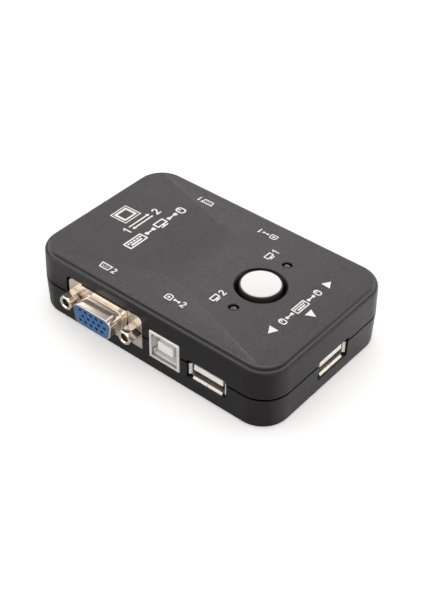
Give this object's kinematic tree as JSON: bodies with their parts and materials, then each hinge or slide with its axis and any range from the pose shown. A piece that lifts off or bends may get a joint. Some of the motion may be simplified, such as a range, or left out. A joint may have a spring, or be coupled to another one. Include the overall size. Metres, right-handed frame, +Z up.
{
  "type": "kvm switch",
  "caption": "Small rounded desktop switch box with a round push button and lamps on top and D-type video and USB sockets around its sides, for sharing one desk between computers.",
  "frame": {"origin": "centre of the flat underside of the lower shell", "axes": "+X along the length, towards the end with the single USB socket; -Y towards the long side that serves the second computer; +Z up, out of the panel with the button"},
  "size_m": [0.1016, 0.0724, 0.0249],
  "materials": {
    "board_laminate": "green solder mask",
    "button_dark": "dark plastic",
    "button_white": "satin white plastic",
    "capacitor_sleeve": "shrink sleeve",
    "case_plastic": "fine-grained black moulded plastic",
    "chip_ceramic": "fired ceramic",
    "chip_epoxy": "moulded epoxy",
    "clear_resin": "clear cast resin",
    "contact_gold": "gold flash",
    "crystal_can": "drawn can",
    "nickel_hardware": "warm nickel plate",
    "nickel_shell": "warm nickel plate",
    "plunger_plastic": "moulded plastic",
    "resistor_film": "fired film",
    "screw_steel": "zinc-plated steel",
    "spring_metal": "spring temper",
    "switch_plastic": "moulded plastic",
    "tinned_metal": "tinned",
    "usb_white_plastic": "moulded white plastic",
    "vga_blue_plastic": "moulded blue plastic"
  },
  "bodies": {
    "case": {"bottom_case": "case_plastic", "case_screws": "screw_steel", "chip_capacitors": "chip_ceramic", "chip_leads": "tinned_metal", "chip_resistors": "resistor_film", "circuit_board": "board_laminate", "crystal": "crystal_can", "electrolytic_capacitors": "capacitor_sleeve", "led_leads": "tinned_metal", "led_pc1": "clear_resin", "led_pc2": "clear_resin", "switch_housing": "switch_plastic", "switch_spring": "spring_metal", "switch_terminals": "tinned_metal", "top_case": "case_plastic", "usb_a_back_contacts": "contact_gold", "usb_a_back_insulator": "usb_white_plastic", "usb_a_back_shell": "nickel_shell", "usb_a_end_contacts": "contact_gold", "usb_a_end_insulator": "usb_white_plastic", "usb_a_end_shell": "nickel_shell", "usb_a_front_contacts": "contact_gold", "usb_a_front_insulator": "usb_white_plastic", "usb_a_front_shell": "nickel_shell", "usb_b_pc1_contacts": "contact_gold", "usb_b_pc1_insulator": "usb_white_plastic", "usb_b_pc1_shell": "nickel_shell", "usb_b_pc2_contacts": "contact_gold", "usb_b_pc2_insulator": "usb_white_plastic", "usb_b_pc2_shell": "nickel_shell", "usb_hub_chip": "chip_epoxy", "usb_switch_chip": "chip_epoxy", "vga_monitor_board_locks": "nickel_hardware", "vga_monitor_contacts": "contact_gold", "vga_monitor_insulator": "vga_blue_plastic", "vga_monitor_jackscrews": "nickel_hardware", "vga_monitor_shell": "nickel_shell", "vga_pc1_board_locks": "nickel_hardware", "vga_pc1_contacts": "contact_gold", "vga_pc1_insulator": "vga_blue_plastic", "vga_pc1_jackscrews": "nickel_hardware", "vga_pc1_shell": "nickel_shell", "vga_pc2_board_locks": "nickel_hardware", "vga_pc2_contacts": "contact_gold", "vga_pc2_insulator": "vga_blue_plastic", "vga_pc2_jackscrews": "nickel_hardware", "vga_pc2_shell": "nickel_shell", "video_switch_chips": "chip_epoxy"},
    "button": {"button_cap": "button_white", "button_body": "button_dark", "switch_plunger": "plunger_plastic", "switch_wipers": "spring_metal"}
  },
  "joints": [
    {"name": "button_press", "type": "slide", "parent": "case", "child": "button", "axis": [0, 0, -1], "range_m": [0, 0.002], "stiffness_N_per_m": 350, "springref_m": -0.0025, "deforming": ["switch_spring"]}
  ]
}
